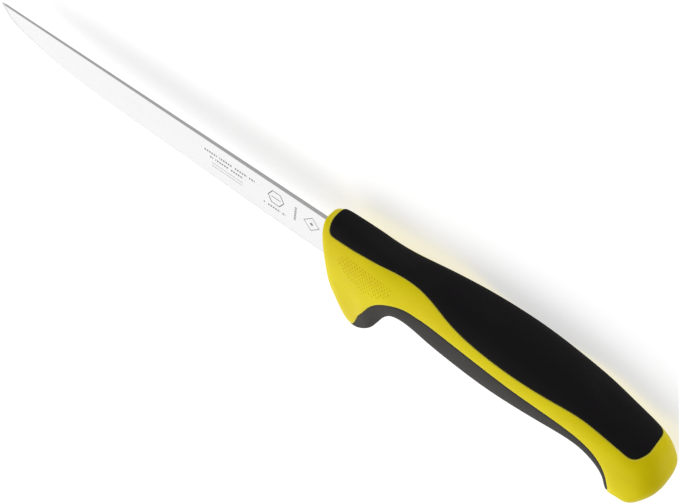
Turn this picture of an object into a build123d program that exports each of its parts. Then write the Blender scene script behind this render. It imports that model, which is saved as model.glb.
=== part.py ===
from build123d import *

import os
from dataclasses import dataclass, replace
from math import copysign, cos, dist, radians, sin

# Boning knife: a stiff, flat-ground steel blade whose tang is moulded into a two-component handle.
# It lies on its side. +X runs along the blade to its tip, +Y from the spine to the cutting edge,
# and +Z is up through the blade's flank. The origin is on the surface it lies on, under the middle.

os.makedirs("parts", exist_ok=True)

# ---- place of the knife in its frame (mm) ----
HEEL_X = -6.0  # where the spine leaves the handle
SPINE_Y = -15.5  # the spine, a straight line along X
MID_Z = 12.1  # the plane of symmetry, half the handle's largest width above the surface

# ---- blade (mm) ----
BLADE_LENGTH = 152.4  # a 6 inch blade, from the handle's front face to the tip
FRONT_FACE = -2.4  # the handle's front face at the spine, from the heel point
TIP = FRONT_FACE + BLADE_LENGTH
HEEL_THICKNESS = 1.6  # at the spine, where the blade leaves the handle
TIP_THICKNESS = 0.9  # at the spine, at the tip
EDGE_THICKNESS = 0.45  # behind the cutting bevel, at the heel
HEEL_DEPTH = 17.9  # from the spine to the cutting edge at the heel
BEVEL_ANGLE = 13.0  # each side of the cutting edge, in degrees
# the cutting edge from the heel to the tip, as (along, below the spine)
EDGE_POINTS = [(-30, 17.9), (0, 17.9), (30, 17.3), (60, 16.2), (90, 15.3), (110, 14.1)]
EDGE_POINTS += [(125, 11.9), (137, 8.9), (146, 5.0), (TIP, 0.0), (TIP + 5, -8.0)]
BLANK_HALF = 1.0  # half the thickness of the blade's blank, before its flanks are ground
BLANK_MARGIN = 20.0  # how far the blank reaches over the spine
BLANK_ROOT = -34.0  # and into the handle, along

# ---- tang, hidden in the handle (mm) ----
TANG_THICKNESS = 1.3
TANG_END = -104.0
TANG_HOLE_RADIUS = 3.0
TANG_HOLE_PLACES = [-38.0, -66.0, -92.0]
TANG_MIDLINE = 7.5  # below the spine
TANG_END_ROUNDING = 4.0
# half heights of the tang at the handle's front face, at the grip and at its end
TANG_OUTLINE = [(-1.0, 6.5), (-24.0, 5.5), (-40.0, 5.0), (TANG_END, 4.5)]

# ---- handle (mm) ----
GRIP_DEPTH = 2.0  # thickness of the soft grips
CUTTER_REACH = 3.0  # how far the grips' shut-off surfaces stand out of the handle
CUTTER_SIZE = 200.0  # length and width of a cutter that is larger than the handle
FRONT_ROUNDING = 3.0
BUTT_ROUNDING = 7.0
JOINT_ANGLE = 70.0  # where the two curves of a section meet, in degrees from the top
END_FLATNESS = 0.8  # the rounded ends are this much shorter than round
END_TURNS = [30, 55, 75]  # where a rounded end has its sections, in degrees
# how far the rounded ends' top and bottom slope inwards, in mm for each mm outwards
FRONT_SLOPES = (0.0, 2.0)
BUTT_SLOPES = (0.3, 0.0)


@dataclass
class Station:
    """One section of the handle: a rounded rectangle standing on a slanting plane."""

    top: tuple  # (along, above the spine) of its highest point
    bottom: tuple  # the same for its lowest point
    half_width: float
    power: float  # 2 is an ellipse, more is squarer
    wider_top: float  # how much wider the top is than the middle, as a share; below 0 is narrower
    back: float  # half angle of the back grip, in degrees from the top
    belly: float  # half angle of the belly grip, in degrees from the bottom


STATIONS = [
    Station((-3.2, 4.7), (-13.4, -31.4), 7.2, 3.0, 0.00, 43, 20),
    Station((-5.4, 6.2), (-20.8, -39.5), 7.6, 3.0, 0.00, 46, 34),
    Station((-10.5, 6.4), (-26.2, -36.1), 8.0, 3.0, -0.05, 48, 62),
    Station((-14.5, 6.4), (-27.8, -33.1), 8.4, 3.0, -0.12, 49, 68),
    Station((-19.0, 6.1), (-30.6, -25.7), 8.7, 3.0, -0.18, 50, 73),
    Station((-25.0, 5.2), (-36.1, -17.4), 8.9, 3.0, -0.22, 48, 77),
    Station((-32.0, 5.4), (-43.0, -15.4), 9.2, 3.0, -0.22, 42, 86),
    Station((-42.0, 6.9), (-51.0, -17.0), 10.0, 2.8, -0.18, 44, 90),
    Station((-54.0, 8.0), (-61.0, -19.2), 11.2, 2.5, -0.08, 59, 93),
    Station((-69.0, 8.7), (-74.0, -21.2), 12.0, 2.3, 0.00, 67, 94),
    Station((-84.0, 7.9), (-87.0, -20.9), 12.0, 2.3, 0.03, 68, 91),
    Station((-97.0, 6.2), (-98.0, -19.8), 11.5, 2.3, 0.03, 64, 89),
    Station((-108.0, 3.8), (-108.8, -18.8), 11.0, 2.4, 0.00, 59, 85),
    Station((-118.0, 1.0), (-115.3, -20.9), 10.8, 2.5, -0.05, 58, 80),
    Station((-126.0, -1.2), (-119.6, -24.9), 10.9, 2.6, -0.10, 56, 68),
    Station((-132.2, -4.4), (-122.3, -29.5), 11.0, 2.6, -0.10, 54, 60),
    Station((-135.1, -8.6), (-125.4, -29.5), 10.8, 2.6, -0.05, 52, 58),
]
BACK_START, BACK_END = 0.55, 14.8  # station numbers at the back grip's ends
BELLY_START, BELLY_END = 0.75, 14.9  # the same for the belly grip
BACK_CORNER = 2.4  # rounding of the back grip's outline at its front
BACK_REAR = -129.0  # where the back grip ends, seen from the back of the handle
BACK_REAR_HALF = 9.5  # its half width there
BACK_REAR_CORNER = 6.5  # and the rounding of its rear corners
BACK_REAR_LENGTH = 40.0  # length over which these hold
BACK_FREE = -112.0  # forward of this place the grip is as wide as its stations say
BELLY_CORNERS = [(-1, 2.0), (0, 3.0)]  # roundings of the belly grip's outline, front and rear


def at(along, above, up=0.0):
    """A point of the frame, from a place along and above the spine and a height off the mid-plane."""
    return Vector(HEEL_X + along, SPINE_Y - above, MID_Z + up)


def flat(along, above):
    """The same point as a place on the middle plane."""
    return (HEEL_X + along, SPINE_Y - above)


def mix(a, b, share):
    """The value a share of the way from a to b."""
    return a + (b - a) * share


def station_at(number):
    """The station at a whole or fractional number, in a straight line between its neighbours."""
    first = min(int(number), len(STATIONS) - 2)
    share = number - first
    a, b = STATIONS[first], STATIONS[first + 1]
    return Station(
        (mix(a.top[0], b.top[0], share), mix(a.top[1], b.top[1], share)),
        (mix(a.bottom[0], b.bottom[0], share), mix(a.bottom[1], b.bottom[1], share)),
        mix(a.half_width, b.half_width, share),
        mix(a.power, b.power, share),
        mix(a.wider_top, b.wider_top, share),
        mix(a.back, b.back, share),
        mix(a.belly, b.belly, share),
    )


def section_plane(station, forward=0.0):
    """The plane that a station stands on, its x axis from the bottom to the top, its z axis to the tip."""
    top, bottom = at(*station.top), at(*station.bottom)
    upward = (top - bottom).normalized()
    toward_tip = Vector(-upward.Y, upward.X, 0)
    if toward_tip.X < 0:
        toward_tip = -toward_tip
    return Plane((top + bottom) / 2 + toward_tip * forward, x_dir=upward, z_dir=toward_tip)


def section_point(station, angle, grow=0.0):
    """A point on a station's outline, at an angle from its top, grown by a distance."""
    half_height = (at(*station.top) - at(*station.bottom)).length / 2
    c, s = cos(radians(angle)), sin(radians(angle))
    height = copysign(abs(c) ** (2 / station.power), c)
    width = copysign(abs(s) ** (2 / station.power), s)
    return (
        (half_height + grow) * height,
        (station.half_width * (1 + station.wider_top * height) + grow) * width,
    )


def arc_points(station, start, end, grow):
    """Evenly spaced points along part of a station's outline."""
    steps = max(10, round(abs(end - start) / 10))
    return [section_point(station, mix(start, end, k / steps), grow) for k in range(steps + 1)]


def direction(station, angle, grow):
    """The direction of a station's outline at an angle."""
    before = Vector(*section_point(station, angle - 0.5, grow))
    after = Vector(*section_point(station, angle + 0.5, grow))
    return (after - before).normalized()


def grip_block(numbers, middle, half_angle, corners):
    """The block that a soft grip fills: it reaches from the grip's floor to clear of the handle."""
    with BuildPart() as block:
        for number in numbers:
            station = station_at(number)
            half = half_angle(station)
            with BuildSketch(section_plane(station)):
                with BuildLine():
                    floor = Spline(*arc_points(station, middle - half, middle + half, -GRIP_DEPTH))
                    outside = Spline(*arc_points(station, middle - half, middle + half, CUTTER_REACH))
                    Line(floor @ 0, outside @ 0)
                    Line(floor @ 1, outside @ 1)
                make_face()
        loft()
        for place, corner in corners:
            end_face = block.faces().filter_by(GeomType.PLANE).sort_by(Axis.X)[place]
            fillet(end_face.edges().sort_by(SortBy.LENGTH)[:2], corner)
    return block.part


def outward_shift(rounding, turn):
    """How far a rounded end has gone outwards, where its surface has turned by an angle."""
    return rounding * END_FLATNESS * sin(radians(turn))


def sloped(station, shift, slopes):
    """The station with its top and bottom drawn in, each by its slope times a shift outwards."""
    height = dist(station.top, station.bottom)
    top_share = shift * slopes[0] / height
    bottom_share = shift * slopes[1] / height
    top = [mix(a, b, top_share) for a, b in zip(station.top, station.bottom)]
    bottom = [mix(b, a, bottom_share) for a, b in zip(station.top, station.bottom)]
    return replace(station, top=top, bottom=bottom)


def handle_section(station, rounding=0.0, side=1, turn=0.0):
    """A section of the handle, drawn in and moved outwards as a rounded end turns away."""
    shift = outward_shift(rounding, turn)
    station = sloped(station, shift, FRONT_SLOPES if side > 0 else BUTT_SLOPES)
    grow = rounding * (cos(radians(turn)) - 1)
    with BuildSketch(section_plane(station, side * shift)) as section:
        with BuildLine():
            # its two curves meet on the flanks, where no grip's edge comes
            for start, end in [(-JOINT_ANGLE, JOINT_ANGLE), (JOINT_ANGLE, 360 - JOINT_ANGLE)]:
                tangents = [direction(station, start, grow), direction(station, end, grow)]
                Spline(*arc_points(station, start, end, grow), tangents=tangents)
        make_face()
    return section.sketch


# ---- the whole handle, before it is divided ----
front_end = [handle_section(STATIONS[0], FRONT_ROUNDING, 1, turn) for turn in reversed(END_TURNS)]
length = [handle_section(station) for station in STATIONS]
butt_end = [handle_section(STATIONS[-1], BUTT_ROUNDING, -1, turn) for turn in END_TURNS]
with BuildPart() as handle_blank:
    loft([*front_end, *length, *butt_end])

# ---- the soft grips' blocks ----
BACK_NUMBERS = [BACK_START, *range(1, 15), BACK_END]
BELLY_NUMBERS = [BELLY_START, *range(1, 15), BELLY_END]
back_block = grip_block(BACK_NUMBERS, 0.0, lambda station: station.back, [(-1, BACK_CORNER)])
belly_block = grip_block(BELLY_NUMBERS, 180.0, lambda station: station.belly, BELLY_CORNERS)

# seen from the back, the back grip ends in a rounded rectangle
with BuildPart() as back_outline:
    with BuildSketch(Plane(at(BACK_REAR, 0), x_dir=(1, 0, 0), z_dir=(0, 1, 0))):
        with Locations((BACK_REAR_LENGTH / 2, 0)):
            RectangleRounded(BACK_REAR_LENGTH, 2 * BACK_REAR_HALF, BACK_REAR_CORNER)
        with Locations((BACK_FREE - BACK_REAR + CUTTER_SIZE / 2, 0)):
            Rectangle(CUTTER_SIZE, CUTTER_SIZE)
    extrude(amount=CUTTER_SIZE, both=True)
back_block = back_block & back_outline.part

# ---- blade with its tang ----
heel_spine = at(FRONT_FACE, 0, HEEL_THICKNESS / 2)
heel_edge = at(FRONT_FACE, -HEEL_DEPTH, EDGE_THICKNESS / 2)
tip_spine = at(TIP, 0, TIP_THICKNESS / 2)
toward_tip = tip_spine - heel_spine
toward_edge = heel_edge - heel_spine
flank_plane = Plane(heel_spine, x_dir=toward_tip, z_dir=toward_tip.cross(toward_edge))
front_plane = section_plane(STATIONS[0], outward_shift(FRONT_ROUNDING, END_TURNS[-1]))
spine_plane = Plane(at(0, 0), x_dir=(1, 0, 0), z_dir=(0, 1, 0))
middle_plane = Plane.XY.offset(MID_Z)

with BuildPart() as blade:
    # the upper half, from the middle up: the cutting bevel slopes in from the edge line
    with BuildSketch(middle_plane):
        with BuildLine():
            edge = Spline(*[flat(along, -below) for along, below in reversed(EDGE_POINTS)])
            over_root = flat(BLANK_ROOT, BLANK_MARGIN)
            over_tip = flat(TIP, BLANK_MARGIN)
            Polyline(edge @ 1, over_root, over_tip, edge @ 0)
        make_face()
    extrude(amount=BLANK_HALF, taper=90 - BEVEL_ANGLE)
    # the spine, the flat-ground flank, and the heel, flush with the handle's front face
    split(bisect_by=spine_plane, keep=Keep.TOP)
    split(bisect_by=flank_plane, keep=Keep.BOTTOM)
    split(bisect_by=front_plane, keep=Keep.TOP)
    mirror(about=middle_plane)
    # the tang goes on into the handle, a little thinner than the blade
    with BuildSketch(middle_plane):
        with BuildLine():
            upper = [flat(along, half - TANG_MIDLINE) for along, half in TANG_OUTLINE]
            lower = [flat(along, -half - TANG_MIDLINE) for along, half in TANG_OUTLINE]
            Polyline(*upper, *reversed(lower), close=True)
        make_face()
        with Locations(*[flat(along, -TANG_MIDLINE) for along in TANG_HOLE_PLACES]):
            Circle(TANG_HOLE_RADIUS, mode=Mode.SUBTRACT)
        end_corners = vertices().group_by(Axis.X)[0]
        fillet(end_corners, TANG_END_ROUNDING)
    extrude(amount=TANG_THICKNESS / 2, both=True)
blade.part.label = "blade"

# ---- handle core, moulded round the tang ----
with BuildPart() as handle_core:
    add(handle_blank.part)
    add(back_block, mode=Mode.SUBTRACT)
    add(belly_block, mode=Mode.SUBTRACT)
    add(blade.part, mode=Mode.SUBTRACT)
handle_core.part.label = "handle_core"

# ---- soft grips, moulded into the core ----
with BuildPart() as back_grip:
    add(handle_blank.part)
    add(back_block, mode=Mode.INTERSECT)
back_grip.part.label = "back_grip"

with BuildPart() as belly_grip:
    add(handle_blank.part)
    add(belly_block, mode=Mode.INTERSECT)
belly_grip.part.label = "belly_grip"

for piece in [blade, handle_core, back_grip, belly_grip]:
    export_step(piece.part, f"parts/{piece.part.label}.step")
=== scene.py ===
"""Boning knife: the finished look of a fixed-blade knife with a two-component moulded handle.

The knife lies on its side. +X runs along the blade to its tip, +Y from the spine to the cutting
edge and +Z up through the blade's flank. Sizes are millimetres in the classes and become metres
where a mesh is made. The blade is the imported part's own; the handle's three pieces are made again
here with rounded seams, and raised grip points are added to its flanks.
"""

import logging  # noqa: E402
import math  # noqa: E402
from dataclasses import dataclass, field  # noqa: E402
from enum import Enum  # noqa: E402
from typing import Any, Sequence, Union  # noqa: E402

import bpy  # noqa: E402
import numpy as np  # noqa: E402
from mathutils import Matrix, Vector  # noqa: E402
from mathutils.geometry import delaunay_2d_cdt  # noqa: E402


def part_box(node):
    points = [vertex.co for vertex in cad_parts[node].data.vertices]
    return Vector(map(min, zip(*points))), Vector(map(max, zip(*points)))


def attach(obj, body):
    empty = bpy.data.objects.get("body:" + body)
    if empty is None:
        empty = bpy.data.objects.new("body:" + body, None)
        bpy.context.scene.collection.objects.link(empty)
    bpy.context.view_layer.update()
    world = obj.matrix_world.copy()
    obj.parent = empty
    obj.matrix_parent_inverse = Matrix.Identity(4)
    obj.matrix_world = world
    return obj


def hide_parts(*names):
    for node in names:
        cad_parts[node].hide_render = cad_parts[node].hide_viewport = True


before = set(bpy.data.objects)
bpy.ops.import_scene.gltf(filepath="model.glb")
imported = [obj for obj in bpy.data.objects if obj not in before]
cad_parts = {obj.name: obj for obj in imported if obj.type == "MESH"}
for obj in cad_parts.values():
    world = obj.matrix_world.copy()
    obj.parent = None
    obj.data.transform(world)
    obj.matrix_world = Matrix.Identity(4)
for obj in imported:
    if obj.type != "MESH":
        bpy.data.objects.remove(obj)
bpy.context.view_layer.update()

MM = 0.001  # metres in a millimetre
BODY = "root"  # the knife has no joints, so all of it is one body
LOG = logging.getLogger("boning_knife")

Colour = tuple[float, float, float, float]
Number = Union[float, "Wire"]

# the soft grips' colours, each plain and where its high grains are rubbed: the back grip's black, then the
# same black rubber painted lighter for the light that falls on the belly grip
BLACK: Colour = (0.010, 0.009, 0.010, 1.0)
DUSTY_BLACK: Colour = (0.020, 0.019, 0.020, 1.0)
# painted light: the belly grip's rubber is the back grip's black, made lighter because light falls on the
# belly
BLACK_PAINTED_LIT: Colour = (0.056, 0.053, 0.049, 1.0)
DUSTY_BLACK_PAINTED_LIT: Colour = (0.078, 0.074, 0.068, 1.0)


class Slot(Enum):
    """The record's material slots."""

    STEEL = "blade_steel"
    PLASTIC = "handle_plastic"
    GRIP = "soft_grip"


# ------------------------------------------------------------------------------- shader tools


class Wire:
    """A shader socket that takes part in Python expressions: each operator adds a Math node."""

    def __init__(self, recipe: "Recipe", socket: bpy.types.NodeSocket) -> None:
        """Keeps the socket and the tree that it is in."""
        self.recipe = recipe
        self.socket = socket

    def maths(self, operation: str, *others: Number) -> "Wire":
        """Adds a Math node that takes this socket first.

        Args:
            operation: the Math node's operation.
            others: the values or sockets of its other inputs.

        Returns:
            The node's result.
        """
        values = dict(enumerate((self, *others)))
        return self.recipe.node("ShaderNodeMath", {"operation": operation}, values)

    def __add__(self, other: Number) -> "Wire":
        """self + other."""
        return self.maths("ADD", other)

    def __radd__(self, other: Number) -> "Wire":
        """other + self."""
        return self.maths("ADD", other)

    def __sub__(self, other: Number) -> "Wire":
        """self - other."""
        return self.maths("SUBTRACT", other)

    def __rsub__(self, other: Number) -> "Wire":
        """other - self."""
        return self.recipe.node("ShaderNodeMath", {"operation": "SUBTRACT"}, {0: other, 1: self})

    def __mul__(self, other: Number) -> "Wire":
        """self * other."""
        return self.maths("MULTIPLY", other)

    def __rmul__(self, other: Number) -> "Wire":
        """other * self."""
        return self.maths("MULTIPLY", other)

    def __truediv__(self, other: Number) -> "Wire":
        """self / other."""
        return self.maths("DIVIDE", other)

    def __lt__(self, other: Number) -> "Wire":
        """1 where self is less than other."""
        return self.maths("LESS_THAN", other)

    def __gt__(self, other: Number) -> "Wire":
        """1 where self is more than other."""
        return self.maths("GREATER_THAN", other)

    def __abs__(self) -> "Wire":
        """The size of self."""
        return self.maths("ABSOLUTE")

    def smaller(self, other: Number) -> "Wire":
        """The smaller of self and other."""
        return self.maths("MINIMUM", other)

    def larger(self, other: Number) -> "Wire":
        """The larger of self and other."""
        return self.maths("MAXIMUM", other)

    def fraction(self) -> "Wire":
        """The part of self after the decimal point."""
        return self.maths("FRACT")

    def ramp(self, low: float, high: float, to_low: float = 0.0, to_high: float = 1.0) -> "Wire":
        """Maps low..high smoothly on to another range.

        Args:
            low: the value that gives to_low.
            high: the value that gives to_high.
            to_low: the result at low.
            to_high: the result at high.

        Returns:
            The mapped value.
        """
        values = {"Value": self, "From Min": low, "From Max": high}
        values |= {"To Min": to_low, "To Max": to_high}
        return self.recipe.node("ShaderNodeMapRange", {"interpolation_type": "SMOOTHSTEP"}, values)


class Recipe:
    """One material's node tree, and the few ways of adding to it."""

    def __init__(self, name: str) -> None:
        """Makes an empty material with an output."""
        self.material = bpy.data.materials.new(name)
        self.material.use_nodes = True
        self.tree = self.material.node_tree
        self.tree.nodes.clear()
        self.output = self.tree.nodes.new("ShaderNodeOutputMaterial")

    def node(
        self,
        kind: str,
        settings: dict[str, Any] | None = None,
        values: dict[int | str, Any] | None = None,
        result: int | str = 0,
    ) -> Wire:
        """Adds a node.

        Args:
            kind: the node's type.
            settings: its properties, which are set first.
            values: its inputs by name or number, each a value or a Wire.
            result: the output to hand back.

        Returns:
            That output.
        """
        made = self.tree.nodes.new(kind)
        for name, value in (settings or {}).items():
            setattr(made, name, value)
        for key, value in (values or {}).items():
            if isinstance(value, Wire):
                self.tree.links.new(value.socket, made.inputs[key])
            else:
                made.inputs[key].default_value = value
        return Wire(self, made.outputs[result])

    def place(self, scale: tuple[float, float, float] = (1.0, 1.0, 1.0)) -> Wire:
        """The surface point in object coordinates, times a scale for each axis."""
        point = self.node("ShaderNodeTexCoord", result="Object")
        return self.node("ShaderNodeMapping", {}, {"Vector": point, "Scale": scale})

    def axes(self, point: Wire) -> tuple[Wire, ...]:
        """The x, y and z of a point."""
        split = self.node("ShaderNodeSeparateXYZ", values={0: point})
        return tuple(Wire(self, axis) for axis in split.socket.node.outputs)

    def noise(self, point: Wire, scale: float, detail: float = 2.0, roughness: float = 0.5) -> Wire:
        """Soft random variation of about 0.5, its grains one over scale in size."""
        values = {"Vector": point, "Scale": scale, "Detail": detail, "Roughness": roughness}
        return self.node("ShaderNodeTexNoise", {}, values)

    def attribute(self, name: str) -> Wire:
        """A number that is stored on the mesh."""
        return self.node("ShaderNodeAttribute", {"attribute_name": name}, result="Fac")

    def blend(self, share: Number, first: Any, second: Any) -> Wire:
        """A colour that goes from first to second as share goes from 0 to 1."""
        settings = {"data_type": "RGBA", "blend_type": "MIX"}
        values = {"Factor": share, 6: first, 7: second}
        return self.node("ShaderNodeMix", settings, values, result=2)

    def bump(
        self, height: Wire, distance: float, strength: float = 1.0, under: Wire | None = None
    ) -> Wire:
        """A normal that follows a height.

        Args:
            height: the height, from 0 to 1.
            distance: what 1 stands for, in metres.
            strength: how much of it shows.
            under: a coarser bump that this one lies on.

        Returns:
            The normal.
        """
        values: dict[int | str, Any] = {"Height": height, "Distance": distance, "Strength": strength}
        if under is not None:
            values["Normal"] = under
        return self.node("ShaderNodeBump", {}, values)

    def surface(self, **values: Any) -> bpy.types.Material:
        """Ends the tree in a Principled shader.

        Args:
            values: its inputs, with underscores for the spaces in their names.

        Returns:
            The finished material.
        """
        named = {name.replace("_", " "): value for name, value in values.items()}
        shader = self.node("ShaderNodeBsdfPrincipled", {}, named)
        self.tree.links.new(shader.socket, self.output.inputs["Surface"])
        return self.material


# ------------------------------------------------------------------------------- finishes


@dataclass(frozen=True)
class SatinPlastic:
    """Coloured polypropylene from a lightly spark-eroded mould."""

    name: str = "satin_yellow_plastic"
    colour: Colour = (0.76, 0.65, 0.001, 1.0)
    deep: Colour = (0.70, 0.565, 0.001, 1.0)
    rim: Colour = (0.72, 0.68, 0.10, 1.0)  # painted highlight: the paler catch line of light on the rounded lip along a seam
    roughness: float = 0.42
    grain: float = 5200.0  # mould grains in a metre
    grain_depth: float = 0.000010
    dents: float = 700.0  # shallow unevenness, in a metre
    flow: float = 38.0  # soft streaks of the moulding, in a metre
    rubbed: float = 240.0  # patches of wear, in a metre
    lip_highlight_share: float = 0.55  # how much of the painted lip highlight shows
    shine: float = 0.06

    def make(self) -> bpy.types.Material:
        """Builds the material."""
        recipe = Recipe(self.name)
        flow = recipe.noise(recipe.place((0.6, 1.4, 1.4)), self.flow, detail=3.0)
        body = recipe.blend(flow.ramp(0.30, 0.70), self.deep, self.colour)
        # painted highlight: the plastic is made paler along its lip at each seam, where light catches the
        # rounding
        lip_highlighted = recipe.blend(recipe.attribute("rim") * self.lip_highlight_share, body, self.rim)
        grain = recipe.noise(recipe.place(), self.grain, detail=3.0, roughness=0.6)
        rub = recipe.noise(recipe.place((1.0, 3.0, 3.0)), self.rubbed, detail=4.0, roughness=0.6)
        rough = rub.ramp(0.25, 0.75, self.roughness - 0.05, self.roughness + 0.07)
        dents = recipe.bump(recipe.noise(recipe.place(), self.dents), self.grain_depth * 2, 0.35)
        return recipe.surface(
            Base_Color=lip_highlighted,
            Roughness=rough,
            IOR=1.49,
            Specular_IOR_Level=self.shine,
            Normal=recipe.bump(grain, self.grain_depth, 0.7, under=dents),
        )


@dataclass(frozen=True)
class SoftGripRubber:
    """Matt thermoplastic elastomer with a fine pebbled grain."""

    name: str
    colour: Colour
    dusty: Colour  # where the high grains have been rubbed
    roughness: float = 0.80
    shine: float = 0.07
    pebbles: float = 2300.0  # in a metre
    pebble_height: float = 0.000030
    worn: float = 60.0  # patches of wear, in a metre

    def make(self) -> bpy.types.Material:
        """Builds the material."""
        recipe = Recipe(self.name)
        point = recipe.place()
        spread = {"Vector": point, "Scale": self.pebbles}
        cells = recipe.node("ShaderNodeTexVoronoi", {"feature": "F1"}, spread)
        fine = recipe.noise(point, self.pebbles * 3.0, detail=2.0)
        worn = recipe.noise(recipe.place((0.7, 1.3, 1.3)), self.worn, detail=4.0, roughness=0.6)
        rubbed = worn.ramp(0.45, 0.75) * cells.ramp(0.0, 0.5, 1.0, 0.35)
        height = 1.0 - cells + fine * 0.25
        return recipe.surface(
            Base_Color=recipe.blend(rubbed * 0.6, self.colour, self.dusty),
            Roughness=worn.ramp(0.3, 0.7, self.roughness + 0.06, self.roughness - 0.06),
            IOR=1.45,
            Specular_IOR_Level=self.shine,
            Normal=recipe.bump(height, self.pebble_height, 0.6),
        )


@dataclass(frozen=True)
class GroundSteel:
    """Flat-ground stainless steel with a lengthwise grain, a coarser spine and etched marks."""

    name: str = "ground_blade_steel"
    flank: Colour = (0.425, 0.425, 0.43, 1.0)
    clouded: Colour = (0.40, 0.40, 0.405, 1.0)  # its duller patches
    spine: Colour = (0.40, 0.40, 0.405, 1.0)
    etched: Colour = (0.13, 0.13, 0.135, 1.0)
    spine_depth: float = 0.02  # millimetres from the spine's face that count as the spine
    roughness: float = 0.30
    lines: float = 9000.0  # grinding lines across a metre
    stretch: float = 0.012  # how much longer than wide the lines are, as a ratio
    line_depth: float = 0.0000030
    clouds: float = 45.0  # duller patches, in a metre
    # the etched marks, in millimetres along from the handle and below the spine
    stroke: float = 0.2  # half the width of their lines
    rhomb: tuple[float, float] = (7.0, 7.2)
    rhomb_reach: float = 3.3
    rhomb_dot: float = 0.8
    column: float = 14.0
    column_half: float = 0.45
    column_ends: tuple[float, float] = (4.0, 11.0)
    column_dash: float = 0.62  # the dashes' share of their pitch of 1 mm
    hexagon: tuple[float, float] = (22.5, 6.3)
    hexagon_reach: float = 2.95
    hexagon_bar: float = 2.0
    dash_rows: tuple[tuple[float, float, float], ...] = (  # start, end and depth of each
        (18.0, 27.5, 11.6), (32.0, 56.0, 5.0), (36.0, 52.0, 7.2),
    )
    dash_half: float = 0.42
    dash_pitch: float = 1.05
    dash_group: float = 6.7
    bar_ends: tuple[float, float] = (37.0, 51.0)
    bar_depths: tuple[float, float] = (9.65, 11.15)
    bar_half: float = 0.11

    def row_of_dashes(self, x: Wire, y: Wire, start: float, end: float, depth: float) -> Wire:
        """A row of short dashes, in groups, each row with its own rhythm.

        Args:
            x: millimetres from the handle.
            y: millimetres from the spine.
            start: where the row starts, along x.
            end: where it ends.
            depth: its place along y.

        Returns:
            1 on the dashes.
        """
        row = (abs(y - depth) < self.dash_half) * (x > start) * (x < end)
        dashes = ((x + depth * 3.1) / self.dash_pitch).fraction() < 0.64
        groups = ((x + depth * 2.3) / self.dash_group).fraction() < 0.86
        return row * dashes * groups

    def marks(self, x: Wire, y: Wire) -> Wire:
        """Etched marks, all plain shapes: a rhomb, a column, a hexagon, rows of dashes and bars.

        Args:
            x: millimetres from the handle.
            y: millimetres from the spine.

        Returns:
            1 on the marks.
        """
        rhomb = abs(x - self.rhomb[0]) + abs(y - self.rhomb[1])
        found = (abs(rhomb - self.rhomb_reach) < self.stroke) + (rhomb < self.rhomb_dot)
        top, bottom = self.column_ends
        column = (abs(x - self.column) < self.column_half) * (y > top) * (y < bottom)
        found = found + column * (y.fraction() < self.column_dash)
        across, down = abs(x - self.hexagon[0]), abs(y - self.hexagon[1])
        slanted = across * math.sqrt(0.75) + down * 0.5
        found = found + (abs(slanted.larger(down) - self.hexagon_reach) < self.stroke)
        found = found + (down < self.stroke) * (across < self.hexagon_bar)
        for start, end, depth in self.dash_rows:
            found = found + self.row_of_dashes(x, y, start, end, depth)
        start, end = self.bar_ends
        for depth in self.bar_depths:
            found = found + (abs(y - depth) < self.bar_half) * (x > start) * (x < end)
        return found.smaller(1.0)

    def make(self, handle_front: float, spine: float, middle: float) -> bpy.types.Material:
        """Builds the material.

        Args:
            handle_front: where the blade leaves the handle, along X in metres.
            spine: the spine's place along Y in metres.
            middle: the blade's plane of symmetry, along Z in metres.

        Returns:
            The finished material.
        """
        recipe = Recipe(self.name)
        x, y, z = recipe.axes(recipe.place())
        along = (x - handle_front) / MM
        below = (y - spine) / MM
        on_spine = below < self.spine_depth
        etched = self.marks(along, below) * (z > middle)
        ground = recipe.place((self.stretch, 1.0, 1.0))
        grain = recipe.noise(ground, self.lines, detail=4.0, roughness=0.65)
        cloud = recipe.noise(recipe.place((0.5, 2.0, 2.0)), self.clouds, detail=3.0)
        clean = recipe.blend(cloud.ramp(0.2, 0.8, 0.0, 0.35), self.flank, self.clouded)
        marked = recipe.blend(etched * 0.85, clean, self.etched)
        rough = grain.ramp(0.25, 0.75, self.roughness - 0.05, self.roughness + 0.08)
        return recipe.surface(
            Base_Color=recipe.blend(on_spine, marked, self.spine),
            Metallic=1.0 - etched * 0.5,
            Roughness=rough + etched * 0.3 + on_spine * 0.2,
            Normal=recipe.bump(grain, self.line_depth, 0.5),
        )


@dataclass(frozen=True)
class FloorPaint:
    """A plain pale floor: a white sheet that is also lit from below."""

    name: str = "pale_floor"
    colour: Colour = (0.50, 0.50, 0.50, 1.0)
    duller: Colour = (0.48, 0.48, 0.48, 1.0)
    glow: Colour = (0.62, 0.62, 0.62, 1.0)  # the light from under the sheet

    def make(self) -> bpy.types.Material:
        """Builds the material, with a trace of unevenness."""
        recipe = Recipe(self.name)
        uneven = recipe.noise(recipe.place(), 3.0)
        shade = recipe.blend(uneven.ramp(0.3, 0.7, 0.0, 0.1), self.colour, self.duller)
        return recipe.surface(
            Base_Color=shade,
            Roughness=0.9,
            Specular_IOR_Level=0.0,
            Emission_Color=self.glow,
            Emission_Strength=1.0,
        )


# ------------------------------------------------------------------------------- handle form


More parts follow.
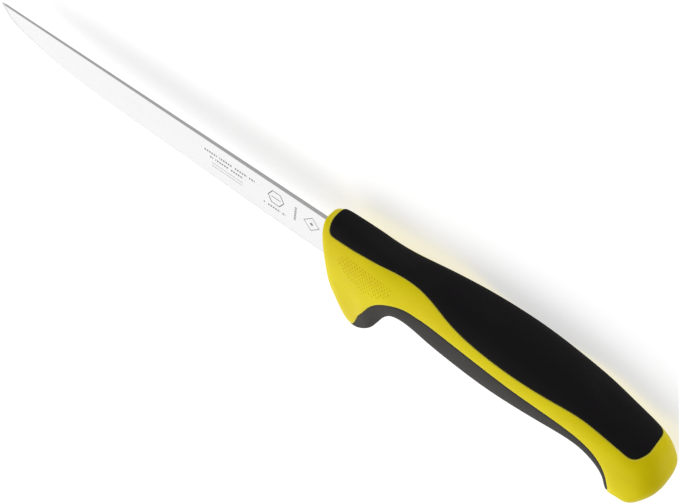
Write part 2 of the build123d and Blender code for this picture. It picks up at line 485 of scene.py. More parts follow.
class NaturalSpline:
    """A smooth curve through rows of numbers, each at a knot."""

    def __init__(self, knots: Sequence[float], rows: Sequence[Sequence[float]]) -> None:
        """Works out the bending at each knot.

        Args:
            knots: rising places.
            rows: the numbers at each place.
        """
        self.knots = np.asarray(knots, float)
        self.rows = np.asarray(rows, float)
        count = len(self.knots)
        gaps = np.diff(self.knots)
        slopes = np.diff(self.rows, axis=0) / gaps[:, None]
        system = np.eye(count)
        right = np.zeros_like(self.rows)
        for k in range(1, count - 1):
            system[k, k - 1 : k + 2] = gaps[k - 1], 2 * (gaps[k - 1] + gaps[k]), gaps[k]
            right[k] = 6 * (slopes[k] - slopes[k - 1])
        self.bends = np.linalg.solve(system, right)

    def at(self, places: np.ndarray) -> np.ndarray:
        """The rows at any places.

        Args:
            places: where to look, kept within the knots.

        Returns:
            One row for each place.
        """
        where = np.clip(places, self.knots[0], self.knots[-1])
        first = np.clip(np.searchsorted(self.knots, where) - 1, 0, len(self.knots) - 2)
        gap = (self.knots[first + 1] - self.knots[first])[:, None]
        b = (where - self.knots[first])[:, None] / gap
        a = 1 - b
        bend = (a**3 - a) * self.bends[first] + (b**3 - b) * self.bends[first + 1]
        return a * self.rows[first] + b * self.rows[first + 1] + bend * gap**2 / 6


@dataclass(frozen=True)
class Station:
    """One section of the handle: a rounded rectangle that stands on a slanting plane."""

    top: tuple[float, float]  # (along, above the spine) of its highest point
    bottom: tuple[float, float]  # the same for its lowest point
    half_width: float
    power: float  # 2 is an ellipse, more is squarer
    wider_top: float  # how much wider the top is than the middle; below 0 is narrower
    back: float  # half angle of the back grip, in degrees from the top
    belly: float  # half angle of the belly grip, in degrees from the bottom


STATIONS = (
    Station((-3.2, 4.7), (-13.4, -31.4), 7.2, 3.0, 0.00, 43, 20),
    Station((-5.4, 6.2), (-20.8, -39.5), 7.6, 3.0, 0.00, 46, 34),
    Station((-10.5, 6.4), (-26.2, -36.1), 8.0, 3.0, -0.05, 48, 62),
    Station((-14.5, 6.4), (-27.8, -33.1), 8.4, 3.0, -0.12, 49, 68),
    Station((-19.0, 6.1), (-30.6, -25.7), 8.7, 3.0, -0.18, 50, 73),
    Station((-25.0, 5.2), (-36.1, -17.4), 8.9, 3.0, -0.22, 48, 77),
    Station((-32.0, 5.4), (-43.0, -15.4), 9.2, 3.0, -0.22, 42, 86),
    Station((-42.0, 6.9), (-51.0, -17.0), 10.0, 2.8, -0.18, 44, 90),
    Station((-54.0, 8.0), (-61.0, -19.2), 11.2, 2.5, -0.08, 59, 93),
    Station((-69.0, 8.7), (-74.0, -21.2), 12.0, 2.3, 0.00, 67, 94),
    Station((-84.0, 7.9), (-87.0, -20.9), 12.0, 2.3, 0.03, 68, 91),
    Station((-97.0, 6.2), (-98.0, -19.8), 11.5, 2.3, 0.03, 64, 89),
    Station((-108.0, 3.8), (-108.8, -18.8), 11.0, 2.4, 0.00, 59, 85),
    Station((-118.0, 1.0), (-115.3, -20.9), 10.8, 2.5, -0.05, 58, 80),
    Station((-126.0, -1.2), (-119.6, -24.9), 10.9, 2.6, -0.10, 56, 68),
    Station((-132.2, -4.4), (-122.3, -29.5), 11.0, 2.6, -0.10, 54, 60),
    Station((-135.1, -8.6), (-125.4, -29.5), 10.8, 2.6, -0.05, 52, 58),
)


@dataclass
class HandleForm:
    """The outer surface of the handle, as a sheet with two coordinates.

    Along is millimetres from the front end to the butt. Round runs from 0 at the back of the
    handle to GIRTH at its belly, evenly over the girth of the section, on the upper side only:
    the handle is the same on both sides of its middle plane.
    """

    heel: Vector  # where the spine leaves the handle, in the middle plane, in metres
    stations: Sequence[Station] = STATIONS
    front_rounding: float = 3.0
    butt_rounding: float = 7.0
    end_flatness: float = 0.8  # the rounded ends are this much shorter than round
    # how far the rounded ends' top and bottom slope inwards, in millimetres for each one along
    front_slopes: tuple[float, float] = (0.0, 2.0)
    butt_slopes: tuple[float, float] = (0.3, 0.0)
    end_turns: tuple[float, ...] = (30.0, 55.0, 75.0)
    cap: float = 7.0  # length along that each flat end takes up
    girth: float = 50.0  # length round that half a section takes up
    angle_steps: int = 48  # steps of the girth table in a quarter turn
    slope_step: float = 0.03  # the step over which the surface's slopes are measured
    knots: np.ndarray = field(init=False)
    sections: NaturalSpline = field(init=False)
    seams: NaturalSpline = field(init=False)

    def __post_init__(self) -> None:
        """Lines up the sections, with those of the rounded ends, and gives each its place along."""
        front = [self._row(self.stations[0], self.front_rounding, 1, t) for t in self.end_turns[::-1]]
        middle = [self._row(station) for station in self.stations]
        butt = [self._row(self.stations[-1], self.butt_rounding, -1, t) for t in self.end_turns]
        rows = np.array([*front, *middle, *butt])
        change = np.diff(rows, axis=0)[:, [0, 1, 3, 4]] * (1.0, 1.0, 0.7, 0.7)
        self.knots = np.concatenate([[0.0], np.cumsum(np.linalg.norm(change, axis=1))])
        self.sections = NaturalSpline(self.knots, rows)
        self.length = self.knots[-1]
        self.station_places = self.knots[len(front) : len(front) + len(middle)]
        angles = [(station.back, station.belly) for station in self.stations]
        self.seams = NaturalSpline(self.station_places, angles)
        quarter = 45 * (1 - np.cos(np.linspace(0, math.pi, self.angle_steps + 1)))
        self.angles = np.concatenate([quarter, 90 + quarter[1:]])

    def _row(
        self, station: Station, rounding: float = 0.0, side: int = 1, turn: float = 0.0
    ) -> list[float]:
        """A section as numbers: middle, lean, half height, half width, power and widening.

        Args:
            station: the section.
            rounding: radius of the rounded end that it is part of.
            side: 1 for the front end, -1 for the butt.
            turn: how far the end's surface has turned, in degrees.

        Returns:
            The row of numbers.
        """
        top, bottom = np.array(station.top), np.array(station.bottom)
        upward = (top - bottom) / np.linalg.norm(top - bottom)
        outward = np.array([upward[1], -upward[0]]) * side
        shift = rounding * self.end_flatness * math.sin(math.radians(turn))
        inset = rounding * (1 - math.cos(math.radians(turn)))
        top_slope, bottom_slope = self.front_slopes if side > 0 else self.butt_slopes
        top = top + outward * shift - upward * (inset + shift * top_slope)
        bottom = bottom + outward * shift + upward * (inset + shift * bottom_slope)
        upright = top - bottom
        lean = math.atan2(upright[1], upright[0])
        size = [np.linalg.norm(upright) / 2, station.half_width - inset]
        return [*(top + bottom) / 2, lean, *size, station.power, station.wider_top]

    def station_place(self, number: float) -> float:
        """The place along of a whole or fractional station number."""
        return float(np.interp(number, range(len(self.stations)), self.station_places))

    def outline(
        self, along: np.ndarray, angle: np.ndarray
    ) -> tuple[np.ndarray, np.ndarray, np.ndarray]:
        """Points of sections in their own plane.

        Args:
            along: places along, one for each row of angle.
            angle: degrees from the top.

        Returns:
            The sections' numbers, and the height and width of each point from their middles.
        """
        rows = self.sections.at(along)
        shrink = np.clip(np.minimum(along, self.length - along) / self.cap + 1, 0, 1)
        c, s = np.cos(np.radians(angle)), np.sin(np.radians(angle))
        power = 2 / rows[:, 5:6]
        height = np.sign(c) * np.abs(c) ** power
        width = np.sign(s) * np.abs(s) ** power
        wide = rows[:, 4:5] * (1 + rows[:, 6:7] * height) * width
        return rows, rows[:, 3:4] * height * shrink[:, None], wide * shrink[:, None]

    def _girth_table(self, along: np.ndarray) -> np.ndarray:
        """The share of the half girth at each table angle, one row for each place along."""
        every = np.broadcast_to(self.angles, (len(along), len(self.angles)))
        _, height, width = self.outline(along, every)
        step = np.hypot(np.diff(height, axis=1), np.diff(width, axis=1)) + 1e-9
        total = np.concatenate([np.zeros((len(along), 1)), np.cumsum(step, axis=1)], axis=1)
        return total / total[:, -1:]

    def round_at(self, along: np.ndarray, angle: np.ndarray) -> np.ndarray:
        """The coordinate round at angles from the top, in degrees."""
        table = self._girth_table(along)
        return self.girth * np.array([np.interp(a, self.angles, row) for a, row in zip(angle, table)])

    def angle_at(self, along: np.ndarray, round_: np.ndarray) -> np.ndarray:
        """The angle from the top, in degrees, at coordinates round. Beyond the ends it mirrors."""
        share = round_ / self.girth
        inside = np.where(share < 0, -share, np.where(share > 1, 2 - share, share))
        table = self._girth_table(along)
        first = np.clip((table < inside[:, None]).sum(1) - 1, 0, len(self.angles) - 2)
        pick = np.arange(len(along))
        low, high = table[pick, first], table[pick, first + 1]
        part = np.clip((inside - low) / (high - low), 0, 1)
        angle = self.angles[first] + part * (self.angles[first + 1] - self.angles[first])
        return np.where(share < 0, -angle, np.where(share > 1, 360 - angle, angle))

    def skin(self, sheet: np.ndarray) -> np.ndarray:
        """Points of the surface, in millimetres from the heel.

        Args:
            sheet: (along, round) of each point.

        Returns:
            (x, y, z) of each point.
        """
        along = sheet[:, 0]
        inner = np.clip(along, -self.cap, self.length + self.cap)
        angle = self.angle_at(inner, sheet[:, 1])
        rows, height, width = self.outline(inner, angle[:, None])
        lean = rows[:, 2]
        x = rows[:, 0] + height[:, 0] * np.cos(lean)
        above = rows[:, 1] + height[:, 0] * np.sin(lean)
        return np.stack([x, -above, width[:, 0]], axis=1)

    def slopes(self, sheet: np.ndarray) -> tuple[np.ndarray, np.ndarray, np.ndarray]:
        """How the surface runs.

        Args:
            sheet: (along, round) of each point.

        Returns:
            The change of the point with along and with round, and the outward normal.
        """
        step = self.slope_step
        along = (self.skin(sheet + (step, 0)) - self.skin(sheet - (step, 0))) / (2 * step)
        round_ = (self.skin(sheet + (0, step)) - self.skin(sheet - (0, step))) / (2 * step)
        normal = np.cross(round_, along)
        # the flat ends close in a point, where the way along the handle is the normal
        flat = (sheet[:, 0] < -0.5 * step) | (sheet[:, 0] > self.length + 0.5 * step)
        lean = self.sections.at(sheet[:, 0])[:, 2]
        ahead = np.stack([np.sin(lean), np.cos(lean), np.zeros(len(sheet))], axis=1)
        facing = ahead * np.where(sheet[:, 0] < 0, 1, -1)[:, None]
        normal = np.where(flat[:, None], facing, normal)
        middle = (sheet[:, 1] <= 0) | (sheet[:, 1] >= self.girth)
        normal[middle, 2] = 0
        return along, round_, normal / np.linalg.norm(normal, axis=1)[:, None]

    def points(self, sheet: np.ndarray, depth: np.ndarray) -> np.ndarray:
        """Points at depths below the surface, in the frame's metres."""
        sunk = self.skin(sheet) - self.slopes(sheet)[2] * depth[:, None]
        return np.array(self.heel) + sunk * MM


def evenly(points: np.ndarray, line: np.ndarray, pitch: float) -> np.ndarray:
    """Puts new points evenly along a line.

    Args:
        points: the line's points in space, for its length.
        line: the same points in any coordinates.
        pitch: the distance between new points.

    Returns:
        The new points, in line's coordinates.
    """
    steps = np.linalg.norm(np.diff(points, axis=0), axis=1)
    length = np.concatenate([[0.0], np.cumsum(steps)])
    count = max(2, round(length[-1] / pitch) + 1)
    where = np.linspace(0, length[-1], count)
    return np.stack([np.interp(where, length, line[:, k]) for k in range(line.shape[1])], axis=1)


def round_corner(form: HandleForm, line: np.ndarray, corner: int, radius: float) -> np.ndarray:
    """Rounds one corner of a line on the handle.

    Args:
        form: the handle's surface.
        line: the line, in sheet coordinates.
        corner: the number of the corner's point.
        radius: how far from the corner the rounding starts.

    Returns:
        The line, with points on a curve in place of those near the corner.
    """
    gap = np.linalg.norm(form.skin(line) - form.skin(line[corner : corner + 1]), axis=1)
    before = max(k for k in range(corner) if gap[k] >= radius)
    after = min(k for k in range(corner + 1, len(line)) if gap[k] >= radius)
    t = np.linspace(0, 1, 14)[1:-1, None]
    curve = (1 - t) ** 2 * line[before] + 2 * t * (1 - t) * line[corner] + t**2 * line[after]
    return np.concatenate([line[: before + 1], curve, line[after:]])


@dataclass
class Seam:
    """The line where a soft grip meets the core, on the upper half, from middle plane to middle plane."""

    form: HandleForm
    line: np.ndarray  # in sheet coordinates, with even steps
    outward: int  # 1 where the core is on the left of the line, -1 where it is on the right

    def moved(self, distance: float) -> np.ndarray:
        """The line moved over the surface.

        Args:
            distance: millimetres, more than 0 into the core and less than 0 into the grip.

        Returns:
            The moved line in sheet coordinates.
        """
        along, round_, normal = self.form.slopes(self.line)
        run = np.gradient(self.line, axis=0)
        ahead = along * run[:, :1] + round_ * run[:, 1:]
        ahead /= np.linalg.norm(ahead, axis=1)[:, None]
        across = np.cross(normal, ahead) * self.outward
        # solve for the step in sheet coordinates that goes across by 1 mm
        aa, ar, rr = ((a * b).sum(1) for a, b in ((along, along), (along, round_), (round_, round_)))
        ac, rc = (along * across).sum(1), (round_ * across).sum(1)
        size = aa * rr - ar * ar
        step = np.stack([(ac * rr - rc * ar) / size, (rc * aa - ac * ar) / size], axis=1)
        for end in (0, -1):
            step[end] = np.sign(step[end, 0]) / np.linalg.norm(along[end]), 0.0
        line = self.line + step * distance
        line[:, 1] = np.clip(line[:, 1], 0, self.form.girth)
        line[[0, -1], 1] = self.line[[0, -1], 1]
        return line

    def holds(self, sheet: np.ndarray) -> np.ndarray:
        """True for each point of the sheet on the grip's side of the line."""
        inside = np.zeros(len(sheet), bool)
        start, end = self.line, np.roll(self.line, -1, axis=0)
        for (ax, ay), (bx, by) in zip(start, end):
            crosses = (ay > sheet[:, 1]) != (by > sheet[:, 1])
            if ay != by:
                inside ^= crosses & (sheet[:, 0] < (bx - ax) * (sheet[:, 1] - ay) / (by - ay) + ax)
        return inside


# ------------------------------------------------------------------------------- mesh tools


def mesh_object(name: str, points: np.ndarray, faces: np.ndarray | list) -> bpy.types.Object:
    """Makes a smooth-shaded mesh object at the origin.

    Args:
        name: the piece's name.
        points: its vertices in metres.
        faces: its faces as vertex numbers.

    Returns:
        The object, linked to the scene.
    """
    mesh = bpy.data.meshes.new(name)
    mesh.from_pydata([tuple(p) for p in points], [], [tuple(f) for f in faces])
    mesh.validate()
    mesh.polygons.foreach_set("use_smooth", [True] * len(mesh.polygons))
    made = bpy.data.objects.new(name, mesh)
    bpy.context.scene.collection.objects.link(made)
    return made


def weld(
    points: np.ndarray, faces: np.ndarray, grain: float = 1e-7
) -> tuple[np.ndarray, np.ndarray, np.ndarray]:
    """Joins points that are in the same place.

    Args:
        points: the points in metres.
        faces: triangles.
        grain: how near counts as the same place.

    Returns:
        The points that are left, the triangles that keep three corners, and which points were kept.
    """
    _, kept, number = np.unique(np.round(points / grain), axis=0, return_index=True, return_inverse=True)
    joined = number.reshape(-1)[faces]
    whole = (joined != np.roll(joined, 1, axis=1)).all(axis=1)
    return points[kept], joined[whole], kept


def both_sides(points: np.ndarray, faces: np.ndarray, middle: float) -> tuple[np.ndarray, np.ndarray]:
    """Adds the mirrored lower half to the upper half of a piece.

    Args:
        points: the upper half's points.
        faces: its triangles.
        middle: the mirror plane's place along Z.

    Returns:
        The points and triangles of both halves.
    """
    mirrored = points * (1, 1, -1) + (0, 0, 2 * middle)
    return np.concatenate([points, mirrored]), np.concatenate([faces, faces[:, ::-1] + len(points)])


# ------------------------------------------------------------------------------- handle


class Grip(Enum):
    """The two soft grips."""

    BACK = "back_grip"
    BELLY = "belly_grip"


@dataclass
class Handle:
    """The moulded handle: a hard core with a soft grip in its back and one in its belly."""

    heel: Vector
    plastic: SatinPlastic
    rubbers: dict[Grip, SoftGripRubber]
    grip_depth: float = 2.0
    pitch: float = 0.95  # size of the surface's triangles
    seam_pitch: float = 0.45  # and along the seams
    clearance: float = 0.42  # from the seams' points to the even ones
    under_gap: float = 0.04  # between a grip's underside and the core
    back_ends: tuple[float, float] = (0.55, 14.8)  # station numbers
    belly_ends: tuple[float, float] = (0.75, 14.9)
    back_corner: float = 2.4
    back_rear: float = -129.0  # where the back grip ends, seen from the back of the handle
    back_rear_half: float = 9.5  # its half width there
    back_rear_corner: float = 6.5  # and the rounding of its rear corners
    back_rear_blend: float = 2.0  # the rounding where they meet its long sides
    halvings: int = 26  # of the search for a place at the rear end
    belly_corners: tuple[float, float] = (2.0, 3.0)
    # the seam's section, as (distance into the core, depth): the core's rounded lip ...
    core_lip: tuple[tuple[float, float], ...] = ((0.50, 0.0), (0.28, 0.03), (0.12, 0.12), (0.0, 0.32))
    # ... and the grip's, down to the wall that both stand against
    grip_lip: tuple[tuple[float, float], ...] = ((-0.06, 0.30), (-0.14, 0.15), (-0.28, 0.05), (-0.50, 0.0))
    points_pitch: float = 1.3  # of the raised points on the flanks
    points_diameter: float = 0.85
    points_height: float = 0.14
    points_sunk: float = 0.02  # how far their middles are below the surface
    search_steps: int = 12  # of the search for a place on the flank
    search_reach: float = 3.0  # the longest of them
    # the outline of the raised points' field, as (along, below the spine) from the heel
    points_field: tuple[tuple[float, float], ...] = (
        (-11.2, 4.2), (-15.0, 2.2), (-24.9, 1.6), (-33.6, 2.4), (-33.8, 5.3),
        (-29.6, 9.9), (-23.8, 12.4), (-17.3, 11.0), (-12.1, 7.7),
    )

    def __post_init__(self) -> None:
        """Makes the form and its two seams, and divides the form's sheet into triangles."""
        self.form = HandleForm(self.heel)
        self.seams = {Grip.BACK: self._back_seam(), Grip.BELLY: self._belly_seam()}
        self._divide()

    def _seam_side(self, start: float, end: float, column: int) -> np.ndarray:
        """A seam's long side in sheet coordinates.

        Args:
            start: the station number where it starts.
            end: the station number where it ends.
            column: 0 for the back grip's angles, 1 for the belly grip's.

        Returns:
            The line's points.
        """
        along = np.linspace(self.form.station_place(start), self.form.station_place(end), 500)
        angle = self.form.seams.at(along)[:, column]
        angle = angle if column == 0 else 180 - angle
        return np.stack([along, self.form.round_at(along, angle)], axis=1)

    def _end_line(self, along: float, first: float, last: float) -> np.ndarray:
        """A straight line round the handle at one place along."""
        return np.stack([np.full(60, along), np.linspace(first, last, 60)], axis=1)

    def _rear_end(self) -> np.ndarray:
        """The back grip's rear end, a rounded rectangle seen from the back of the handle."""
        form = self.form
        quarter = form.angles[: form.angle_steps + 1]
        flat_half = self.back_rear_half - self.back_rear_corner
        arc = np.radians(np.linspace(88.0, 0.0, 40))
        x = self.back_rear + self.back_rear_corner * (1 - np.cos(arc))
        z = flat_half + self.back_rear_corner * np.sin(arc)
        straight = np.linspace(flat_half, 0, 16)[1:]
        found = []
        x = np.concatenate([x, np.full(len(straight), self.back_rear)])
        z = np.concatenate([z, straight])
        for target_x, target_z in zip(x, z):
            low, high = form.station_place(12), form.length
            for _ in range(self.halvings):
                along = (low + high) / 2
                place = np.array([along])
                rows, height, width = form.outline(place, quarter[None, :])
                angle = np.interp(target_z, width[0], quarter)
                level = np.interp(angle, quarter, height[0])
                reached = rows[0, 0] + level * math.cos(rows[0, 2])
                low, high = (along, high) if reached > target_x else (low, along)
            found.append((along, form.round_at(place, np.array([angle]))[0]))
        return np.array(found)

    def _back_seam(self) -> Seam:
        """The back grip's outline: straight ends with rounded corners."""
        side = self._seam_side(*self.back_ends, 0)
        rear = self._rear_end()
        limit = np.interp(side[:, 0], rear[:, 0], rear[:, 1], left=1e9)
        side = side[side[:, 1] < limit]
        rear = rear[rear[:, 0] > side[-1, 0] + 0.1]
        front = self._end_line(side[0, 0], 0.0, side[0, 1])
        line = np.concatenate([front[:-1], side, rear])
        line = round_corner(self.form, line, len(front) + len(side) - 2, self.back_rear_blend)
        line = round_corner(self.form, line, len(front) - 1, self.back_corner)
        line[[0, -1], 1] = 0.0
        return Seam(self.form, evenly(self.form.skin(line), line, self.seam_pitch), -1)

    def _belly_seam(self) -> Seam:
        """The belly grip's outline: straight ends with rounded corners."""
        side = self._seam_side(*self.belly_ends, 1)
        front = self._end_line(side[0, 0], self.form.girth, side[0, 1])
        rear = self._end_line(side[-1, 0], side[-1, 1], self.form.girth)
        line = np.concatenate([front[:-1], side, rear[1:]])
        line = round_corner(self.form, line, len(front) + len(side) - 2, self.belly_corners[1])
        line = round_corner(self.form, line, len(front) - 1, self.belly_corners[0])
        return Seam(self.form, evenly(self.form.skin(line), line, self.seam_pitch), 1)

    def _divide(self) -> None:
        """Divides the sheet into triangles whose edges follow the seams and their lips."""
        form = self.form
        start, end = -form.cap, form.length + form.cap
        lines, depths_core, depths_grip, lip_highlights = [], [], [], []
        for seam in self.seams.values():
            for distance, depth in (*self.core_lip, *self.grip_lip):
                lines.append(seam.moved(distance))
                in_core = distance >= 0
                depths_core.append(depth if in_core else self.grip_depth)
                depths_grip.append(0.0 if in_core else depth)
                # the lip where light catches along each seam, marked for the plastic's painted highlight
                lip_highlights.append(1.0 if 0.1 < distance < 0.3 else 0.0)
        sheet = np.concatenate(lines)
        core, grip, rim = (
            np.concatenate([np.full(len(line), value) for line, value in zip(lines, values)])
            for values in (depths_core, depths_grip, lip_highlights)
        )
        edges = []
        number = 0
        for line in lines:
            edges += [(number + k, number + k + 1) for k in range(len(line) - 1)]
            number += len(line)
        # an even lattice, left out near the seams
        columns = np.linspace(start, end, round((end - start) / self.pitch) + 1)
        rounds = np.linspace(0, form.girth, round(form.girth / self.pitch) + 1)
        lattice = np.stack(np.meshgrid(columns, rounds, indexing="ij"), axis=-1).reshape(-1, 2)
        near = np.zeros(len(lattice), bool)
        for block in np.array_split(sheet, 12):
            gap = ((lattice[:, None, :] - block[None, :, :]) ** 2).sum(-1)
            near |= (gap < self.clearance**2).any(1)
        corner = np.isin(lattice[:, 0], [start, end]) & np.isin(lattice[:, 1], [0, form.girth])
        lattice = lattice[~near | corner]
        in_any = self.seams[Grip.BACK].holds(lattice) | self.seams[Grip.BELLY].holds(lattice)
        sheet = np.concatenate([sheet, lattice])
        core = np.concatenate([core, np.where(in_any, self.grip_depth, 0.0)])
        grip = np.concatenate([grip, np.zeros(len(lattice))])
        rim = np.concatenate([rim, np.zeros(len(lattice))])
        found, _, faces, origin, _, _ = delaunay_2d_cdt(
            [Vector(p) for p in sheet], edges, [], 0, 1e-7, True
        )
        first = [o[0] for o in origin]
        self.sheet = sheet[first]
        self.core_depth, self.grip_top, self.rim = core[first], grip[first], rim[first]
        triangles = np.array([f for f in faces if len(f) == 3])
        # round then along goes clockwise from outside, so each triangle is put the right way round
        a, b, c = (self.sheet[triangles[:, k]] for k in range(3))
        area = (b[:, 0] - a[:, 0]) * (c[:, 1] - a[:, 1]) - (b[:, 1] - a[:, 1]) * (c[:, 0] - a[:, 0])
        triangles[area > 0] = triangles[area > 0][:, ::-1]
        self.triangles = triangles[np.abs(area) > 1e-9]

    def core(self) -> bpy.types.Object:
        """The hard core, closed under the grips, with its seam lips marked for the plastic's painted
        highlight.
        """
        points = self.form.points(self.sheet, self.core_depth)
        points, faces = both_sides(points, self.triangles, self.heel.z)
        points, faces, kept = weld(points, faces)
        made = mesh_object("moulded_core", points, faces)
        # the lips carry the plastic's painted highlight
        rim = np.concatenate([self.rim, self.rim])[kept]
        stored = made.data.attributes.new("rim", "FLOAT", "POINT")
        stored.data.foreach_set("value", rim.astype(np.float32))
        made.data.materials.append(self.plastic.make())
        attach(made, BODY)
        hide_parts("handle_core")
        return made

    def grip(self, which: Grip) -> bpy.types.Object:
        """A soft grip: a skin with a rounded edge, a flat underside and the wall between them.

        Args:
            which: the grip to make.

        Returns:
            The finished piece.
        """
        seam = self.seams[which]
        wall = Seam(self.form, seam.moved(self.grip_lip[0][0]), seam.outward)
        centres = self.sheet[self.triangles].mean(axis=1)
        mine = self.triangles[wall.holds(centres)]
        used, faces = np.unique(mine, return_inverse=True)
        faces = faces.reshape(-1, 3)
        sheet = self.sheet[used]
        top = self.form.points(sheet, self.grip_top[used])
        under = self.form.points(sheet, np.full(len(used), self.grip_depth - self.under_gap))
        # each edge that only one triangle has is on the wall, or on the middle plane
        sides = np.concatenate([faces[:, [0, 1]], faces[:, [1, 2]], faces[:, [2, 0]]])
        keys = np.sort(sides, axis=1)
        _, number, count = np.unique(keys, axis=0, return_inverse=True, return_counts=True)
        rim = sides[count[number.reshape(-1)] == 1]
        on_middle = np.isin(sheet[rim][:, :, 1], [0.0, self.form.girth]).all(axis=1)
        rim = rim[~on_middle]
        below = len(used)
        wall_faces = np.concatenate([
            np.stack([rim[:, 1], rim[:, 0], rim[:, 0] + below], axis=1),
            np.stack([rim[:, 1], rim[:, 0] + below, rim[:, 1] + below], axis=1),
        ])
        points = np.concatenate([top, under])
        faces = np.concatenate([faces, faces[:, ::-1] + below, wall_faces])
        points, faces = both_sides(points, faces, self.heel.z)
        points, faces, _ = weld(points, faces)
        names = {Grip.BACK: "soft_back_grip", Grip.BELLY: "soft_belly_grip"}
        made = mesh_object(names[which], points, faces)
        made.data.materials.append(self.rubbers[which].make())
        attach(made, BODY)
        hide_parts(which.value)
        return made

    def _on_flank(self, places: np.ndarray) -> np.ndarray:
        """Finds places on the upper flank.

        Args:
            places: (along, below the spine) of each place, from the heel.

        Returns:
            Their sheet coordinates.
        """
        form = self.form
        middles = [(station.top[0] + station.bottom[0]) / 2 for station in form.stations]
        along = np.interp(-places[:, 0], -np.array(middles), form.station_places)
        sheet = np.stack([along, np.full(len(places), form.girth / 2)], axis=1)
        for _ in range(self.search_steps):
            ahead, round_, _ = form.slopes(sheet)
            system = np.stack([ahead[:, :2], round_[:, :2]], axis=2)
            gap = places - form.skin(sheet)[:, :2]
            step = np.linalg.solve(system, gap[:, :, None])[:, :, 0]
            sheet += np.clip(step, -self.search_reach, self.search_reach)
        return sheet

    def _point_seats(self) -> tuple[np.ndarray, np.ndarray]:
        """Where the raised points stand: even rows along the handle, every second one shifted.

        Returns:
            The seats' places in metres and the directions that they face.
        """
        field_line = np.array(self.points_field)
        low, high = field_line.min(axis=0), field_line.max(axis=0)
        seats = []
        for number, below in enumerate(np.arange(low[1], high[1], self.points_pitch * math.sqrt(0.75))):
            start = low[0] + (number % 2) * self.points_pitch / 2
            row = np.arange(start, high[0], self.points_pitch)
            seats += [(x, below) for x in row]
        places = np.array(seats)
        places = places[Seam(self.form, field_line, 1).holds(places)]
        sheet = self._on_flank(places)
        facing = self.form.slopes(sheet)[2]
        upper = self.form.points(sheet, np.full(len(sheet), self.points_sunk))
        lower = upper * (1, 1, -1) + (0, 0, 2 * self.heel.z)
        return np.concatenate([upper, lower]), np.concatenate([facing, facing * (1, 1, -1)])

    def raised_points(self) -> bpy.types.Object:
        """The raised points on both flanks, put on their seats by Geometry Nodes."""
        places, facing = self._point_seats()
        material = bpy.data.materials[self.plastic.name]
        made = mesh_object("grip_points", places, [])
        stored = made.data.attributes.new("facing", "FLOAT_VECTOR", "POINT")
        stored.data.foreach_set("vector", facing.astype(np.float32).reshape(-1))
        tree = dome_tree("raised_points", material)
        modifier = made.modifiers.new("points", "NODES")
        modifier.node_group = tree
        sizes = {"Diameter": self.points_diameter * MM, "Height": self.points_height * MM}
        for item in tree.interface.items_tree:
            if item.name in sizes:
                modifier[item.identifier] = sizes[item.name]
        graph = bpy.context.evaluated_depsgraph_get()
        mesh = bpy.data.meshes.new_from_object(made.evaluated_get(graph), depsgraph=graph)
        made.modifiers.clear()
        made.data = mesh
        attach(made, BODY)
        return made

    def build(self) -> list[bpy.types.Object]:
        """Makes every piece of the handle."""
        core = self.core()
        grips = [self.grip(which) for which in Grip]
        return [core, *grips, self.raised_points()]


def dome_tree(name: str, material: bpy.types.Material) -> bpy.types.NodeTree:
    """A Geometry Nodes tree that puts a low dome on every point, facing as the point does.

    Args:
        name: the tree's name.
        material: the domes' material.

    Returns:
        The tree, with the inputs Diameter and Height in metres.
    """
    tree = bpy.data.node_groups.new(name, "GeometryNodeTree")
    face = tree.interface
    face.new_socket("Geometry", in_out="INPUT", socket_type="NodeSocketGeometry")
    for size in ("Diameter", "Height"):
        face.new_socket(size, in_out="INPUT", socket_type="NodeSocketFloat")
    face.new_socket("Geometry", in_out="OUTPUT", socket_type="NodeSocketGeometry")

    def add(kind: str, settings: dict[str, Any], links: dict[int | str, Any]) -> bpy.types.Node:
        """Adds a node, with its settings, and its inputs as values or other nodes' outputs."""
        made = tree.nodes.new(kind)
        for key, value in settings.items():
            setattr(made, key, value)
        for key, value in links.items():
            if isinstance(value, bpy.types.NodeSocket):
                tree.links.new(value, made.inputs[key])
            else:
                made.inputs[key].default_value = value
        return made

    entry = add("NodeGroupInput", {}, {})
    ball = add("GeometryNodeMeshUVSphere", {}, {"Segments": 8, "Rings": 6, "Radius": 0.5})
    wide = entry.outputs["Diameter"]
    size = add("ShaderNodeCombineXYZ", {}, {0: wide, 1: wide})
    double = add("ShaderNodeMath", {"operation": "MULTIPLY"}, {0: entry.outputs["Height"], 1: 2.0})
    tree.links.new(double.outputs[0], size.inputs[2])
    facing = add("GeometryNodeInputNamedAttribute", {"data_type": "FLOAT_VECTOR"}, {"Name": "facing"})
    turn = add("FunctionNodeAlignRotationToVector", {"axis": "Z"}, {"Vector": facing.outputs[0]})
    seats = add(
        "GeometryNodeInstanceOnPoints",
        {},
        {
            "Points": entry.outputs["Geometry"],
            "Instance": ball.outputs["Mesh"],
            "Rotation": turn.outputs[0],
            "Scale": size.outputs[0],
        },
    )
    real = add("GeometryNodeRealizeInstances", {}, {0: seats.outputs[0]})
    smooth = add("GeometryNodeSetShadeSmooth", {}, {0: real.outputs[0]})
    dressed = add("GeometryNodeSetMaterial", {}, {0: smooth.outputs[0], "Material": material})
    add("NodeGroupOutput", {}, {0: dressed.outputs[0]})
    return tree


# ------------------------------------------------------------------------------- blade


@dataclass
class Blade:
    """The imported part's own blade, dressed in ground steel."""

    steel: GroundSteel
    tip_from_heel: float = 150.0  # millimetres from the heel point to the tip
    front_from_heel: float = -2.4  # and to the handle's front face

    def heel(self) -> Vector:
        """Where the spine leaves the handle, in the blade's middle plane, in metres."""
        low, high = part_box("blade")
        return Vector((high.x - self.tip_from_heel * MM, low.y, (low.z + high.z) / 2))

    def build(self) -> list[bpy.types.Object]:
        """Gives the blade its steel."""
        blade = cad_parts["blade"]
        heel = self.heel()
        steel = self.steel.make(heel.x + self.front_from_heel * MM, heel.y, heel.z)
        if not blade.material_slots:
            blade.data.materials.append(steel)
        for place in blade.material_slots:
            place.material = steel
        return [blade]


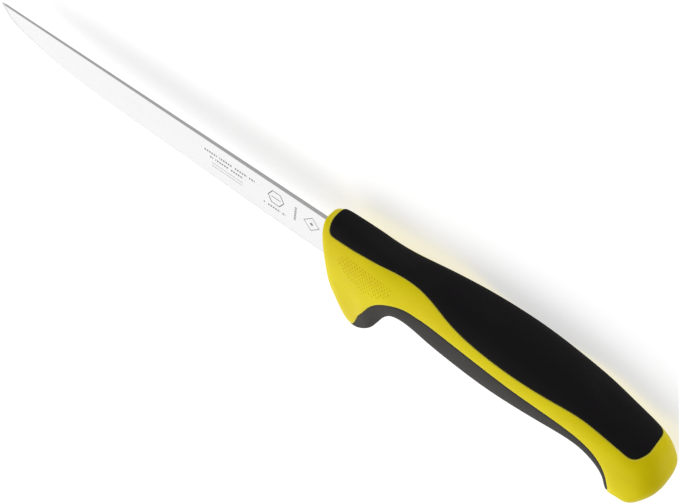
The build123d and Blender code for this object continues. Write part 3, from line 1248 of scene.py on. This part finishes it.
# ------------------------------------------------------------------------------- studio


@dataclass
class SoftBox:
    """A large soft light that looks at the knife."""

    name: str
    direction: tuple[float, float, float]  # from the knife to the light
    distance: float
    size: float
    power: float

    def build(self, target: Vector) -> None:
        """Hangs the light in the scene, aimed at a place."""
        data = bpy.data.lights.new(self.name, "AREA")
        data.shape = "SQUARE"
        data.size = self.size
        data.energy = self.power
        lamp = bpy.data.objects.new(self.name, data)
        toward = Vector(self.direction).normalized()
        lamp.location = target + toward * self.distance
        lamp.rotation_mode = "QUATERNION"
        lamp.rotation_quaternion = toward.to_track_quat("Z", "Y")
        bpy.context.scene.collection.objects.link(lamp)


@dataclass
class Studio:
    """The pale floor, the soft light and the camera."""

    heel: Vector
    floor_width: float = 8.0
    sky: float = 0.42  # brightness of the light from all round
    sensor: float = 36.0  # the camera's width of view at its lens, in millimetres
    azimuth: float = -21.44  # of the camera, in degrees, 0 looks along +Y
    elevation: float = 33.12
    roll: float = -134.03
    distance: float = 474.2  # from the aim point, in millimetres
    aim: tuple[float, float, float] = (-7.62, 12.30, 0.0)  # from the heel, in millimetres
    lens: float = 74.58
    lights: tuple[SoftBox, ...] = (
        SoftBox("key_light", (0.45, 0.55, 0.70), 1.8, 3.0, 50.0),
    )

    def target(self) -> Vector:
        """The camera's aim point in metres."""
        return self.heel + Vector(self.aim) * MM

    def floor(self) -> bpy.types.Object:
        """A wide flat floor under the knife."""
        half = self.floor_width / 2
        corners = np.array([(-half, -half, 0), (half, -half, 0), (half, half, 0), (-half, half, 0)])
        made = mesh_object("floor", corners, [(0, 1, 2, 3)])
        made.data.materials.append(FloorPaint().make())
        return made

    def world(self) -> None:
        """Even light from all round."""
        world = bpy.data.worlds.new("studio_light")
        world.use_nodes = True
        world.node_tree.nodes["Background"].inputs["Color"].default_value = (1.0, 1.0, 1.0, 1.0)
        world.node_tree.nodes["Background"].inputs["Strength"].default_value = self.sky
        bpy.context.scene.world = world

    def camera(self) -> None:
        """The camera, turned about its own axis by the roll."""
        azimuth, elevation, roll = (math.radians(a) for a in (self.azimuth, self.elevation, self.roll))
        back = Vector((
            math.sin(azimuth) * math.cos(elevation),
            -math.cos(azimuth) * math.cos(elevation),
            math.sin(elevation),
        ))
        level = Vector((math.cos(azimuth), math.sin(azimuth), 0.0))
        upright = back.cross(level)
        right = level * math.cos(roll) + upright * math.sin(roll)
        up = upright * math.cos(roll) - level * math.sin(roll)
        data = bpy.data.cameras.new("camera")
        data.lens = self.lens
        data.sensor_width = self.sensor
        data.clip_start, data.clip_end = 0.01, 50.0
        made = bpy.data.objects.new("camera", data)
        made.matrix_world = Matrix.Translation(self.target() + back * self.distance * MM) @ (
            Matrix((right, up, back)).transposed().to_4x4()
        )
        bpy.context.scene.collection.objects.link(made)
        bpy.context.scene.camera = made

    def build(self) -> None:
        """Sets up everything round the knife."""
        self.floor()
        self.world()
        self.camera()
        for light in self.lights:
            light.build(self.target())
        bpy.context.scene.view_settings.view_transform = "Standard"


def report(pieces: Sequence[bpy.types.Object]) -> None:
    """Logs each piece with its size in triangles."""
    for piece in pieces:
        triangles = sum(len(face.vertices) - 2 for face in piece.data.polygons)
        LOG.info("%s: %d triangles", piece.name, triangles)


def main() -> None:
    """Builds the knife and the studio round it."""
    logging.basicConfig(level=logging.INFO, format="%(message)s")
    blade = Blade(GroundSteel())
    report(blade.build())
    rubbers = {
        Grip.BACK: SoftGripRubber("black_soft_grip", BLACK, DUSTY_BLACK),
        # the belly grip: the back grip's black rubber, painted lighter for the light that falls on it
        Grip.BELLY: SoftGripRubber("charcoal_soft_grip", BLACK_PAINTED_LIT, DUSTY_BLACK_PAINTED_LIT),
    }
    handle = Handle(blade.heel(), SatinPlastic(), rubbers)
    report(handle.build())
    Studio(blade.heel()).build()


if __name__ == "__main__":
    main()
